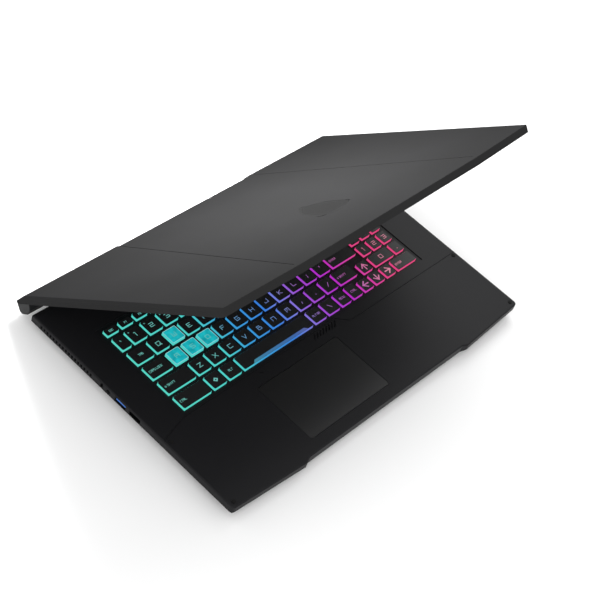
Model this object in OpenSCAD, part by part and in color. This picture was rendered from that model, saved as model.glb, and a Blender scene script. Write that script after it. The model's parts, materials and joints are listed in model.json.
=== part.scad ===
// Gaming laptop with its lid partly open. X runs to the user's right, Y to the back, Z up.
// Inside the modules Y = 0 is the rear edge of the deck and Z = 0 is the table under the feet.

/* [Overall] */
// Width of the base and of the lid
body_w = 398; // [385:1:480]
// Depth of the base, from its rear edge to the two front points beside the finger notch
base_d = 255.7; // [250:0.1:310]
// Thickness of the base, from its underside to the deck
base_h = 15.7; // [15:0.1:19]
// Height of the rubber feet
foot_h = 1.6; // [1:0.1:3]
// Thickness of the lid
lid_t = 7.3; // [7:0.1:9]
// Gap between the deck and the closed lid
lid_gap = 0.6; // [0.5:0.1:1]
// Angle between the deck and the lid in the rest pose
open_angle = 40.8; // [10:0.1:90]

/* [Outline] */
// How far the outer front corners lie behind the front points
corner_back = 5.2; // [0:0.1:12]
// Half the distance between the two front points
notch_half = 113.5; // [60:0.5:160]
// Width of the slanted step at each end of the finger notch
notch_run = 6; // [2:0.5:12]
// Depth of the finger notch
notch_deep = 2.7; // [0.5:0.1:4]
// Radius of the front corners seen from above
corner_r = 4; // [1:0.5:8]
// Height of the upright rim below the deck
rim_h = 6.7; // [6:0.1:7]
// How far the underside slopes inwards below the rim
slope_in = 12; // [4:0.5:16]
// Width of the bevel round the deck
deck_bevel = 1.2; // [0.4:0.1:2]
// Width of the bevel round the lid's outer face
lid_bevel = 2.6; // [1:0.1:4]

/* [Walls] */
// Thickness of the casing's side walls
wall = 2; // [1.5:0.1:2.4]
// Thickness of the deck and of the underside
skin = 1.6; // [1.2:0.1:1.8]
// Thickness of the lid's outer face
lid_skin = 1.5; // [1.2:0.1:1.8]

/* [Hinge] */
// Distance of the hinge axis behind the deck
axis_back = 14.5; // [13.8:0.1:18]
// Height of the hinge axis over the deck
axis_rise = 0.5; // [0:0.1:1.5]
// Radius of the hinge pins
pin_r = 2; // [1.7:0.05:2.1]
// Radial clearance between a hinge pin and its barrel
pin_fit = 0.05; // [0.02:0.01:0.1]
// Distance of each hinge's inner end from the middle
hinge_x = 152; // [120:1:160]
// Length of each hinge cover
hinge_len = 25; // [20:1:30]

/* [Keyboard] */
// Distance of the keyboard's left end from the middle
keys_left = 163; // [160:0.5:170]
// Distance of the keyboard's front row from the deck's rear edge
keys_front = 153.2; // [150:0.1:156]
// Side-by-side spacing of the letter keys
key_u = 18.9; // [18:0.05:19.1]
// Front-to-back spacing of the letter keys
key_v = 19.45; // [16.2:0.05:19.5]
// Side gap between neighbouring caps
cap_gap = 3.5; // [2.5:0.1:5]
// Front-to-back size of the caps in the letter rows
cap_d = 15.3; // [13:0.1:15.6]
// Front-to-back size of the small function caps
fn_d = 7.3; // [6:0.1:8]
// Height of the caps over the deck
cap_rise = 1.6; // [1.2:0.1:1.7]
// Travel of a key
key_travel = 1.5; // [1:0.1:1.7]
// Depth of the keyboard tray below the deck
tray_deep = 0.9; // [0.4:0.1:1]
// Clearance round each cap in the deck
cap_fit = 0.4; // [0.3:0.05:0.6]

/* [Touchpad] */
// Width of the touchpad
pad_w = 105.8; // [90:0.1:130]
// Depth of the touchpad
pad_d = 67.4; // [55:0.1:68]
// Distance of the touchpad's middle to the left of the base's middle
pad_x = 39.7; // [20:0.1:60]
// Strip of deck in front of the touchpad
pad_front = 12; // [8:0.1:40]
// Gap round the touchpad
pad_fit = 0.4; // [0.3:0.05:0.6]

/* [Screen] */
// Width of the picture
screen_w = 382; // [340:1:382]
// Height of the picture
screen_h = 215; // [190:1:216]
// Frame above the picture, at the lid's free edge
screen_top = 11.5; // [10:0.1:14]

/* [Hidden] */
$fn = 48;
eps = 0.01;

half_w = body_w / 2;
deck_z = foot_h + base_h;
split_z = deck_z - rim_h;
seam_gap = 0.1;
slope_drop = split_z - foot_h - 0.3;
axis_y = axis_back;
axis_z = deck_z + axis_rise;
lid_z = deck_z + lid_gap;
lid_top = lid_z + lid_t;

// Lid's rear profile, measured from the hinge axis with the lid closed
lid_ridge = [-5.2, lid_top - axis_z];
lid_heel = [5.6, 3.5];
bar_split = 0.3;
bar_profile = [
    [5.8, bar_split], [6.4, -7], [3.8, -9.2], [-4, -9.6], [-9, -6], [-11.2, -1.2],
    [-11.2, bar_split]
];
cover_rear = [lid_ridge, lid_heel, [5.7, bar_split + 0.2]];

// Middle of the bounding box in the rest pose
rear_y = axis_y + max([for (p = concat(bar_profile, cover_rear))
    p[0] * cos(open_angle) + p[1] * sin(open_angle)]);
shift_y = (base_d - rear_y) / 2;

// Touchpad
pad_y = -base_d + notch_deep + pad_front + pad_d / 2;

// Keyboard rows; every key is [its node, left, front, width, depth], gaps included
cap_z0 = deck_z - 2.9;
cap_top = deck_z + cap_rise;
key_web = 1.4;
main_w = 273;
num_u = 15.5;
num_v = 16.2;
num_cap_d = 12.8;
small_u = 16.5;
// Lights, power button and the blank badge on the lid
power_w = 15;
power_d = 8;
power_travel = 0.5;
lights_y = -26;
lights_x = [-8, 0, 8];
emblem_w = 40;
emblem_h = 53;
emblem_deep = 0.4;
emblem_y = -170;
function row_y(k) = -keys_front + k * key_v;
function starts(w, x0) = [for (i = 0, x = x0; i < len(w); x = x + w[i], i = i + 1) x];
function row(y, d, x0, items) = let (xs = starts([for (k = items) k[1]], x0))
    [for (i = [0:len(items) - 1]) [items[i][0], xs[i], y, items[i][1], d]];
function same(bank, n, w) = [for (i = [1:n]) [bank, w]];
function num_x(k) = -keys_left + main_w + 1 + k * num_u;
function num_y(k) = -keys_front + k * num_v;
shift_w = 1.95 * key_u;
caps_w = 1.465 * key_u;
tab_w = 1.23 * key_u;
tick_w = 0.757 * key_u;
KEYS = concat(
    row(row_y(0), cap_d, -keys_left, concat(
        [["modifier_keys", shift_w]], same("modifier_keys", 2, key_u), [["key_space", 5 * key_u]],
        same("modifier_keys", 2, key_u), same("modifier_keys", 2, small_u))),
    row(row_y(1), cap_d, -keys_left, concat(
        [["lower_letter_keys", shift_w]], same("lower_letter_keys", 10, key_u),
        [["lower_letter_keys", caps_w]])),
    row(row_y(2), cap_d, -keys_left, concat(
        [["home_letter_keys", caps_w], ["key_a", key_u], ["key_s", key_u], ["key_d", key_u]],
        same("home_letter_keys", 8, key_u), [["key_enter", main_w - caps_w - 11 * key_u]])),
    row(row_y(3), cap_d, -keys_left, concat(
        [["upper_letter_keys", tab_w], ["upper_letter_keys", key_u], ["key_w", key_u]],
        same("upper_letter_keys", 10, key_u), [["upper_letter_keys", main_w - tab_w - 12 * key_u]])),
    row(row_y(4), cap_d, -keys_left, concat(
        [["number_keys", tick_w]], same("number_keys", 12, key_u),
        [["key_backspace", main_w - tick_w - 12 * key_u]])),
    row(row_y(5), fn_d, -keys_left, same("function_keys", 16, main_w / 16)),
    row(row_y(5), fn_d, num_x(0), same("function_keys", 3, num_u)),
    row(num_y(0), num_cap_d, num_x(0) - 2 * small_u - 1, [["key_left", small_u], ["key_down", small_u],
        ["key_right", small_u], ["numpad_keys", num_x(3) - num_x(0) - small_u + 1]]),
    row(num_y(1), num_cap_d, num_x(0) - small_u - 1, [["key_up", small_u]]),
    row(num_y(1), num_cap_d, num_x(0), [["numpad_keys", 2 * num_u], ["numpad_keys", num_u]]),
    [for (k = [2:4]) each row(num_y(k), num_cap_d, num_x(0), same("numpad_keys", 3, num_u))],
    row(num_y(5), num_cap_d, num_x(0), same("numpad_keys", 3, num_u))
);
power_at = [num_x(2), -26];
tray = [-keys_left - 3, -keys_front - 3.6, num_x(3) + 4, row_y(5) + fn_d + 4.2];

// Palm rest seam: it steps forward on both sides of the keyboard
seam_y = -keys_front - 5.2;
seam = [[-half_w + deck_bevel, seam_y - 8.8], [-half_w + 6, seam_y - 7], [-half_w + 31, seam_y],
    [28, seam_y], [39.7, seam_y - 10.2], [half_w - deck_bevel, seam_y - 10.2]];
groove_w = 0.8;
groove_deep = 0.5;
slit_n = 8;

// Rubber dots on the palm rest
dot_r = 1.9;
dot_rise = 0.5;
dots = [for (s = [-1, 1], y = [seam_y - 13, -base_d + corner_back + 5.2]) [s * (half_w - 5.5), y]];

// Fans, cooling and boards
fan_w = 68;
fan_r = 30;
fan_z = foot_h + 2;
fan_h = 7;
fan_x = half_w - wall - 20 - fan_w / 2;
fan_y = -62;
fan_pin_r = 1.4;
board_z = foot_h + 4.6;
board_t = 1.2;
plate_z = cap_z0 - key_travel - 1.3;
plate_t = 0.8;

// Bottom screws and the bosses that they go into
screw_r = 1.25;
boss_r = 3;
screw_rows = [-8.5, -keys_front - 12.8];
screws = concat([for (s = [-1, 0, 1], y = screw_rows) [s * (half_w - 20), y]],
    [for (s = [-1, 1]) [s * (half_w - 20), -base_d + 17]]);

// Sockets: [middle along the side, height, width]
port_z = (split_z + deck_z - skin) / 2;
port_deep = 14;
port_gap = 0.15;
usb_w = 13.6;
usb_h = 5.1;
usb_left = [-114.6, -132.5];
usb_right = -136;
usb_c_y = -153;
usb_c_w = 9.2;
usb_c_h = 3.4;
video_y = -117;
video_w = 15.4;
video_h = 5.1;
audio_y = -166;
audio_r = 1.75;
audio_d = 5.1;
dc_y = -99;
dc_r = 2.25;
dc_d = 5.1;
lock_y = -91;

// Outlines -------------------------------------------------------------------------------

function unit(v) = v / norm(v);
function turned(v, a) = [v[0] * cos(a) - v[1] * sin(a), v[0] * sin(a) + v[1] * cos(a)];
// Points of one corner b, between a and c, rounded to the radius b[2]
function corner(a, b, c, n) = let (m = [b[0], b[1]]) b[2] <= 0 ? [m] :
    let (u = unit([a[0], a[1]] - m), v = unit([c[0], c[1]] - m), h = acos(u * v) / 2,
        o = m + unit(u + v) * b[2] / sin(h), s = m + u * b[2] / tan(h) - o,
        e = m + v * b[2] / tan(h) - o, sweep = atan2(cross(s, e), s * e))
    [for (k = [0:n]) o + turned(s, k / n * sweep)];
function rounded(p, n = 4) = let (c = len(p))
    [for (i = [0:c - 1]) each corner(p[(i + c - 1) % c], p[i], p[(i + 1) % c], n)];
// Outline of the lid, g inside the true edge, with its rear edge at y
function lid_outline(g, y, r = corner_r) = rounded([
    [half_w - g, y, 0], [-half_w + g, y, 0], [-half_w + g, -base_d + corner_back + g, r],
    [-notch_half, -base_d + g, 0], [notch_half, -base_d + g, 0],
    [half_w - g, -base_d + corner_back + g, r]]);
// Outline of the base, with the finger notch
function outline(g, y) = rounded([
    [half_w - g, y, 0], [-half_w + g, y, 0], [-half_w + g, -base_d + corner_back + g, corner_r],
    [-notch_half, -base_d + g, 0], [-notch_half + notch_run, -base_d + notch_deep + g, 0],
    [notch_half - notch_run, -base_d + notch_deep + g, 0], [notch_half, -base_d + g, 0],
    [half_w - g, -base_d + corner_back + g, corner_r]]);

module rounded_box(w, d, h, r) {
    linear_extrude(h)
        polygon(rounded([[w / 2, d / 2, r], [-w / 2, d / 2, r], [-w / 2, -d / 2, r], [w / 2, -d / 2, r]]));
}

// Wedges that bevel an outline's edge by w inwards and by h down (s = 1) or up (s = -1)
module bevel_cut(pts, w, h, z, s = 1, over = 1) {
    for (i = [0:len(pts) - 1]) {
        p = pts[i];
        q = pts[(i + 1) % len(pts)];
        run = norm(q - p);
        if (p[1] + q[1] < 2 * pts[0][1] - 1)
            translate([p[0], p[1], z])
                rotate([0, 0, atan2(q[1] - p[1], q[0] - p[0])])
                    translate([-over, 0, 0])
                        rotate([90, 0, 90])
                            linear_extrude(run + 2 * over)
                                polygon([[1.5 * w, 0.5 * h * s], [-0.5 * w, -1.5 * h * s],
                                    [-0.5 * w, 0.5 * h * s]]);
    }
}

// Straight groove from p to q in the deck
module groove(p, q, w, deep) {
    translate([p[0], p[1], deck_z - deep])
        rotate([0, 0, atan2(q[1] - p[1], q[0] - p[0])])
            translate([-w / 2, -w / 2, 0])
                cube([norm(q - p) + w, w, deep + 1]);
}

module both_sides() {
    children();
    mirror([1, 0, 0])
        children();
}

// Turns a lid piece, drawn closed, to the rest pose
module opened() {
    translate([0, axis_y, axis_z])
        rotate([-open_angle, 0, 0])
            translate([0, -axis_y, -axis_z])
                children();
}

module placed() {
    translate([0, shift_y, 0])
        children();
}

// Base ------------------------------------------------------------------------------------

module port_windows() {
    for (y = usb_left)
        translate([-half_w - 1, y - usb_w / 2 - port_gap, port_z - usb_h / 2 - port_gap])
            cube([wall + 2, usb_w + 2 * port_gap, usb_h + 2 * port_gap]);
    translate([half_w - wall - 1, usb_right - usb_w / 2 - port_gap, port_z - usb_h / 2 - port_gap])
        cube([wall + 2, usb_w + 2 * port_gap, usb_h + 2 * port_gap]);
    translate([half_w - wall - 1, video_y - video_w / 2 - port_gap, port_z - video_h / 2 - port_gap])
        cube([wall + 2, video_w + 2 * port_gap, video_h + 2 * port_gap]);
    translate([half_w - wall - 1, usb_c_y - usb_c_w / 2 - port_gap, port_z - usb_c_h / 2 - port_gap])
        cube([wall + 2, usb_c_w + 2 * port_gap, usb_c_h + 2 * port_gap]);
    translate([half_w - wall - 1, audio_y, port_z])
        rotate([0, 90, 0])
            cylinder(h = wall + 2, r = audio_d / 2 + port_gap);
    translate([-half_w - 1, dc_y, port_z])
        rotate([0, 90, 0])
            cylinder(h = wall + 2, r = dc_d / 2 + port_gap);
    translate([-half_w - 1, lock_y - 1.5, port_z - 3])
        cube([wall + 2, 3, 6]);
}

module side_vents() {
    for (i = [0:16])
        translate([-half_w - 1, -78 + i * 4, split_z + 1.4])
            cube([body_w + 2, 2.2, rim_h - 3.4]);
}

module rear_vents() {
    both_sides()
        for (i = [0:17])
            translate([52 + i * 5, -wall - 1, split_z + 1.2])
                cube([3.4, wall + 2, rim_h - 3.2]);
}

module key_windows() {
    for (k = KEYS)
        translate([k[1] + cap_gap / 2 - cap_fit, k[2] - cap_fit])
            square([k[3] - cap_gap + 2 * cap_fit, k[4] + 2 * cap_fit]);
}

module top_case() {
    web_z = deck_z - tray_deep - key_web;
    color("#242526")
    placed() {
        difference() {
            translate([0, 0, split_z])
                linear_extrude(rim_h)
                    polygon(outline(0, 0));
            bevel_cut(outline(0, 0), deck_bevel, 0.7, deck_z);
            translate([0, 0, split_z - 1])
                linear_extrude(rim_h - skin + 1)
                    polygon(outline(wall, -wall));
            translate([tray[0], tray[1], split_z])
                cube([tray[2] - tray[0], tray[3] - tray[1], rim_h + 1]);
            translate([-pad_x, pad_y, split_z])
                rounded_box(pad_w, pad_d, rim_h + 1, 3);
            translate([power_at[0], power_at[1], split_z])
                rounded_box(power_w + 2 * pad_fit, power_d + 2 * pad_fit, rim_h + 1, 2);
            port_windows();
            side_vents();
            rear_vents();
            hinge_arm_slots();
            for (i = [0:len(seam) - 2])
                groove(seam[i], seam[i + 1], groove_w, groove_deep);
            groove([-79, seam_y - 2.2], [-74.5, seam_y - 6.2], 0.9, groove_deep);
            for (i = [0:slit_n - 1])
                groove([-6.6 + i * 4, seam_y - 6.6], [-2.4 + i * 4, seam_y - 2.2], 1.5, 1);
            for (d = dots)
                translate([d[0], d[1], deck_z - 0.8])
                    cylinder(h = 2, r = dot_r + 0.1);
            for (x = lights_x)
                translate([x, lights_y, deck_z - skin - 1])
                    rounded_box(3.2, 1.4, skin + 2, 0.6);
        }
        // Web between the keys, joined to the deck round the tray
        translate([0, 0, web_z])
            linear_extrude(key_web)
                difference() {
                    translate([tray[0] - 2, tray[1] - 2])
                        square([tray[2] - tray[0] + 4, tray[3] - tray[1] + 4]);
                    key_windows();
                }
        for (s = screws)
            translate([s[0], s[1], split_z - 3])
                difference() {
                    cylinder(h = rim_h - skin + 3 + 0.4, r = boss_r);
                    translate([0, 0, -1])
                        cylinder(h = rim_h, r = screw_r + 0.1);
                }
    }
}

module bottom_cover() {
    z0 = foot_h;
    h = split_z - seam_gap - z0;
    color("#1c1d1e")
    placed()
        difference() {
            translate([0, 0, z0])
                linear_extrude(h)
                    polygon(outline(0, 0));
            bevel_cut(lid_outline(0, 0, 0), slope_in, slope_drop, z0, -1);
            difference() {
                translate([0, 0, z0 + skin])
                    linear_extrude(h)
                        polygon(outline(wall, -wall));
                bevel_cut(lid_outline(wall, -wall, 0), slope_in, slope_drop, z0 + skin, -1);
            }
            // Air intakes under the fans
            both_sides()
                for (i = [0:11])
                    translate([fan_x - 26, fan_y - 25 + i * 4.4, z0 - 1])
                        cube([52, 2.4, skin + 2]);
            // Middle intake field
            for (i = [0:5])
                translate([-70, -70 + i * 6, z0 - 1])
                    cube([140, 2.6, skin + 2]);
            // Speaker slits
            both_sides()
                for (i = [0:5])
                    translate([half_w - 40 + i * 3, -base_d + 28, z0 - 1])
                        cube([1.4, 16, skin + 2]);
            port_windows();
            for (s = screws) {
                translate([s[0], s[1], z0 - 1])
                    cylinder(h = skin + 6, r = screw_r + 0.3);
                translate([s[0], s[1], z0 - 1])
                    cylinder(h = 1 + 0.9, r = 2.7);
            }
        }
}

module rubber_feet() {
    color("#111111")
    placed() {
        both_sides()
            translate([half_w - 68, -base_d + 26, 0])
                rounded_box(70, 9, foot_h, 4);
        translate([0, -24, 0])
            rounded_box(body_w - 110, 9, foot_h, 4);
    }
}

module bottom_screws() {
    color("#2a2a2a")
    placed()
        for (s = screws)
            translate([s[0], s[1], foot_h + 0.1]) {
                cylinder(h = 0.7, r = 2.5);
                cylinder(h = split_z - foot_h, r = screw_r);
            }
}

module keyboard_plate() {
    color("#8c9094")
    placed()
        translate([tray[0] + 1, tray[1] + 1, plate_z])
            cube([tray[2] - tray[0] - 2, tray[3] - tray[1] - 2, plate_t]);
}

module backlight_sheet() {
    color("#e8eef2")
    placed()
        translate([tray[0] + 2, tray[1] + 2, plate_z - 0.6])
            cube([tray[2] - tray[0] - 4, tray[3] - tray[1] - 4, 0.4]);
}

module mainboard() {
    side = half_w - wall - 14;
    inner = fan_x - fan_w / 2 - 3;
    front = -keys_front - 17;
    back = fan_y - fan_w / 2 - 3;
    color("#173d2a")
    placed() {
        difference() {
            translate([0, 0, board_z])
                linear_extrude(board_t)
                    polygon([[side, front], [side, back], [inner, back], [inner, -20], [-inner, -20],
                        [-inner, back], [-side, back], [-side, front]]);
            for (s = screws)
                translate([s[0], s[1], board_z - 1])
                    cylinder(h = board_t + 2, r = boss_r + 0.5);
        }
        for (c = [[-30, -92, 26], [28, -86, 22]])
            translate([c[0] - c[2] / 2, c[1] - c[2] / 2, board_z + board_t - eps])
                cube([c[2], c[2], 1]);
    }
}

module heat_pipes() {
    z = board_z + board_t + 1.1;
    color("#b87333")
    placed() {
        for (c = [[-30, -92, 34], [28, -86, 30]])
            translate([c[0] - c[2] / 2, c[1] - c[2] / 2, z])
                cube([c[2], c[2], 0.8]);
        for (y = [-100, -90, -80])
            translate([-fan_x + fan_w / 2 + 5, y, z + 0.6])
                cube([2 * (fan_x - fan_w / 2 - 5), 6, 1.6]);
        both_sides()
            translate([fan_x - fan_w / 2 - 11, -100, z + 0.6])
                cube([6, 82, 1.6]);
        both_sides()
            translate([fan_x - fan_w / 2 - 11, -18, z + 0.6])
                cube([fan_w, 6, 1.6]);
    }
}

module fin_stacks() {
    z = foot_h + skin + 1;
    color("#b9bdc0")
    placed()
        both_sides() {
            for (i = [0:26])
                translate([fan_x - fan_w / 2 + 4 + i * 2.2, -18, z])
                    cube([0.5, 13, board_z + board_t - z + 1.6]);
            translate([fan_x - fan_w / 2 + 4, -18, z - 0.5])
                cube([26 * 2.2 + 0.5, 13, 0.5 + eps]);
        }
}

module fan_housing(side) {
    color("#1a1a1a")
    placed()
        translate([side * fan_x, fan_y, fan_z]) {
            difference() {
                translate([-fan_w / 2, -fan_w / 2, 0])
                    cube([fan_w, fan_w + 8, fan_h]);
                translate([0, 0, 0.8])
                    cylinder(h = fan_h - 1.6, r = fan_r + 1.5);
                translate([-fan_r, 0, 0.8])
                    cube([2 * fan_r, fan_w, fan_h - 1.6]);
                translate([0, 0, -1])
                    difference() {
                        cylinder(h = fan_h + 2, r = fan_r - 7);
                        cylinder(h = 1.8 + 0.8, r = 10);
                        for (a = [0, 120, 240])
                            rotate([0, 0, a])
                                translate([0, -2.5, 0])
                                    cube([fan_r, 5, 1.8]);
                    }
            }
            cylinder(h = fan_h - 1.6, r = fan_pin_r);
        }
}

module fan_rotor(side) {
    blades = 23;
    z = fan_z + 2;
    h = fan_h - 3.2;
    color("#303236")
    placed()
        translate([side * fan_x, fan_y, z])
            difference() {
                union() {
                    cylinder(h = h, r = 11);
                    for (i = [0:blades - 1])
                        rotate([0, 0, i * 360 / blades])
                            translate([9, 0, 0.4])
                                rotate([0, 0, 24 * side])
                                    cube([fan_r - 11, 0.9, h - 0.8]);
                    difference() {
                        cylinder(h = 1, r = fan_r);
                        translate([0, 0, -1])
                            cylinder(h = 3, r = fan_r - 4);
                    }
                }
                translate([0, 0, -1])
                    cylinder(h = h + 2, r = fan_pin_r + pin_fit);
            }
}

module battery_pack() {
    z = foot_h + skin + 0.3;
    front = -base_d + wall + slope_in + 3;
    deep = -keys_front - 21 - front;
    color("#2b2c30")
    placed()
        for (i = [0:3])
            translate([-150 + i * 75.4, front, z])
                cube([i == 3 ? 73.8 : 75.4 + eps, deep, plate_z - z - 1.2]);
}

module memory_modules() {
    color("#1f5a3a")
    placed()
        for (x = [-72, 2.4])
            translate([x, -70, board_z + board_t + 0.4])
                cube([69.6, 30, 1.2]);
}

module storage_drive() {
    color("#1c3f66")
    placed()
        translate([75, -66, board_z + board_t + 0.1])
            cube([22, 42, 2.2]);
}

module wireless_card() {
    color("#a8adb1")
    placed()
        translate([-97, -60, board_z + board_t + 0.1])
            cube([22, 30, 2]);
}

module speakers() {
    z = foot_h + skin + 0.2;
    color("#1b1b1b")
    placed()
        both_sides()
            translate([half_w - slope_in - wall - 15.5, -base_d + 52, z])
                rounded_box(28, 40, 6.5, 3);
}

// Metal shell of a socket that faces +X at x, with a tongue inside
module socket(x, y, z, w, h, tongue) {
    t = 0.4;
    translate([x - port_deep, y - w / 2, z - h / 2])
        difference() {
            cube([port_deep - 0.3, w, h]);
            translate([1, t, t])
                cube([port_deep, w - 2 * t, h - 2 * t]);
        }
    translate([x - port_deep + 0.5, y - w / 2 + 1.4, z + h * 0.08])
        cube([port_deep - 2.5, w - 2.8, tongue]);
}

module usb_sockets() {
    color("#3d78c8")
    placed() {
        for (y = usb_left)
            mirror([1, 0, 0])
                socket(half_w, y, port_z, usb_w, usb_h, 1.6);
        socket(half_w, usb_right, port_z, usb_w, usb_h, 1.6);
    }
}

module usb_c_socket() {
    color("#9aa0a6")
    placed()
        socket(half_w, usb_c_y, port_z, usb_c_w, usb_c_h, 0.7);
}

module video_socket() {
    color("#9aa0a6")
    placed()
        socket(half_w, video_y, port_z, video_w, video_h, 1.2);
}

module audio_jack() {
    color("#202123")
    placed()
        translate([half_w - port_deep, audio_y, port_z])
            rotate([0, 90, 0])
                difference() {
                    cylinder(h = port_deep - 0.3, r = audio_d / 2);
                    translate([0, 0, 1])
                        cylinder(h = port_deep, r = audio_r);
                }
}

module dc_inlet() {
    color("#202123")
    placed()
        translate([-half_w + port_deep, dc_y, port_z])
            rotate([0, -90, 0]) {
                difference() {
                    cylinder(h = port_deep - 0.3, r = dc_d / 2);
                    translate([0, 0, 1])
                        cylinder(h = port_deep, r = dc_r);
                }
                cylinder(h = port_deep - 2, r = 0.5);
            }
}

module deck_bumpers() {
    color("#0d0d0d")
    placed()
        for (d = dots)
            translate([d[0], d[1], deck_z - 0.8])
                cylinder(h = 0.8 + dot_rise, r = dot_r);
}

module status_lights() {
    color("#d8f4ff")
    placed()
        for (x = lights_x)
            translate([x, lights_y, deck_z - skin])
                rounded_box(3, 1.2, skin - 0.1, 0.5);
}

module power_button() {
    color("#2c2d2f")
    placed()
        translate([power_at[0], power_at[1], deck_z - 2.4])
            rounded_box(power_w, power_d, 2.3 + power_travel, 2);
}

module touchpad_plate() {
    color("#161718")
    placed()
        translate([-pad_x, pad_y, deck_z - 2.8])
            rounded_box(pad_w - 2 * pad_fit, pad_d - 2 * pad_fit, 2.6, 3 - pad_fit);
}

// Keys ------------------------------------------------------------------------------------

module keys(bank) {
    color("#101112")
    placed()
        for (k = KEYS)
            if (k[0] == bank)
                translate([k[1] + k[3] / 2, k[2] + k[4] / 2, cap_z0]) {
                    rounded_box(k[3] - cap_gap, k[4], cap_top - cap_z0 - 0.5, 1.4);
                    rounded_box(k[3] - cap_gap - 0.8, k[4] - 0.8, cap_top - cap_z0, 1.2);
                }
}

// Hinge -----------------------------------------------------------------------------------

arm_w = 12;
arm_t = 1.2;
arm_in = 38;
arm_x = hinge_x + (hinge_len - arm_w) / 2;
arm_z = axis_z - pin_r - 0.9;
arm_gap = 0.3;
barrel_r = pin_r + 1.1;
hinge_wall = 0.7;
cover_r = barrel_r + arm_gap + hinge_wall;
bar_gap = 0.4;
heel_slot = 2.6;
leaf_x = hinge_x + hinge_len + 1.6;
leaf_w = 9;
leaf_t = 1.2;
leaf_top = lid_top - lid_skin - 0.4 - axis_z;
leaf_len = 62;
web_y = -7;
web_t = 2.4;

// Slots through the rear wall, and a recess under the deck, for the steel arms
module hinge_arm_slots() {
    both_sides()
        translate([arm_x - arm_gap, -arm_in - 1, arm_z - arm_gap])
            cube([arm_w + 2 * arm_gap, arm_in + 2, arm_t + 2 * arm_gap]);
}

module hinge_bracket_right() {
    color("#7d8287")
    placed()
        difference() {
            union() {
                translate([arm_x, -arm_in, arm_z])
                    cube([arm_w, arm_in + axis_y - 1, arm_t]);
                translate([arm_x, axis_y, axis_z])
                    rotate([0, 90, 0])
                        cylinder(h = arm_w, r = barrel_r);
            }
            translate([arm_x - 1, axis_y, axis_z])
                rotate([0, 90, 0])
                    cylinder(h = arm_w + 2, r = pin_r + pin_fit);
        }
}

module hinge_bracket_left() {
    mirror([1, 0, 0])
        hinge_bracket_right();
}

// Plastic covers round the barrels, open towards the base for the steel arm
module hinge_covers() {
    z0 = arm_z - arm_gap - axis_z;
    z1 = z0 + arm_t + 2 * arm_gap;
    color("#242526")
    placed()
        both_sides()
            translate([hinge_x, axis_y, axis_z])
                difference() {
                    union() {
                        rotate([0, 90, 0])
                            cylinder(h = hinge_len, r = cover_r);
                        translate([0, -axis_back + 0.1, z0 - hinge_wall])
                            cube([hinge_len, axis_back, z1 - z0 + 2 * hinge_wall]);
                    }
                    translate([hinge_wall, 0, 0])
                        rotate([0, 90, 0])
                            cylinder(h = hinge_len - 2 * hinge_wall, r = cover_r - hinge_wall);
                    translate([hinge_wall, -axis_back - 1, z0])
                        cube([hinge_len - 2 * hinge_wall, axis_back + 1, z1 - z0]);
                    translate([hinge_len - 2, 0, 0])
                        rotate([0, 90, 0])
                            cylinder(h = 4, r = pin_r + 0.3);
                }
}

module hinge_pin_right() {
    color("#9ea3a8")
    placed()
        opened() {
            translate([arm_x - 1, axis_y, axis_z])
                rotate([0, 90, 0])
                    cylinder(h = leaf_x + leaf_w - arm_x + 1, r = pin_r);
            translate([leaf_x, axis_y + web_y, axis_z - web_t / 2])
                cube([leaf_w, -web_y, web_t]);
            translate([leaf_x, axis_y + web_y, axis_z - web_t / 2])
                cube([leaf_w, web_t, leaf_top + web_t / 2]);
            translate([leaf_x, axis_y - leaf_len, axis_z + leaf_top - leaf_t])
                cube([leaf_w, leaf_len + web_y + web_t, leaf_t]);
        }
}

module hinge_pin_left() {
    mirror([1, 0, 0])
        hinge_pin_right();
}

module hinge_pockets() {
    both_sides() {
        translate([hinge_x - bar_gap, axis_y, axis_z])
            rotate([0, 90, 0])
                cylinder(h = hinge_len + 2 * bar_gap, r = cover_r + bar_gap);
        translate([hinge_x - bar_gap, axis_y - 40, axis_z - 20])
            cube([hinge_len + 2 * bar_gap, 40, 20]);
        translate([hinge_x - bar_gap, axis_y - 1, axis_z - 20])
            cube([hinge_len + 2 * bar_gap, 30, 20 + heel_slot]);
        translate([leaf_x - 0.3, axis_y - leaf_len - 1, axis_z - web_t / 2 - 0.3])
            cube([leaf_w + 0.6, leaf_len + 1 + web_y + web_t + 0.3, leaf_top + web_t / 2 + 0.6]);
        translate([leaf_x - 0.3, axis_y + web_y - 0.3, axis_z - pin_r - 0.3])
            cube([leaf_w + 0.6, -web_y + pin_r + 0.6, 2 * pin_r + 0.6]);
        translate([hinge_x, axis_y, axis_z])
            rotate([0, 90, 0])
                cylinder(h = leaf_x + leaf_w - hinge_x, r = pin_r + 0.2);
    }
}

module hinge_bar() {
    color("#1e1f20")
    placed()
        opened()
            difference() {
                translate([-half_w, axis_y, axis_z])
                    rotate([90, 0, 90])
                        linear_extrude(body_w)
                            polygon(bar_profile);
                hinge_pockets();
            }
}

// Lid, drawn closed and turned open -------------------------------------------------------

cover_y = axis_y + lid_heel[0] + 0.6;
// The bevels run along the lid's two sides, past both of its ends
lid_sides = [[half_w, cover_y + 20], [-half_w, cover_y + 20], [-half_w, -base_d - 20],
    [half_w, -base_d - 20]];
crease_front = notch_half + 3;
crease_back = 88;
bezel_t = 1.3;
bezel_fit = 0.15;
panel_t = 2.6;
panel_rim = 3;
screen_y = -base_d + notch_deep + screen_top + screen_h / 2;

// Thin crease in the lid's outer face, on the right half
module lid_crease() {
    a = [crease_back, 4, 0];
    b = [crease_front, -base_d + 6, 0];
    translate([a[0], a[1], lid_top - 0.35])
        rotate([0, 0, atan2(b[1] - a[1], b[0] - a[0])])
            translate([0, -0.35, 0])
                cube([norm(b - a), 0.7, 1]);
}

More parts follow.
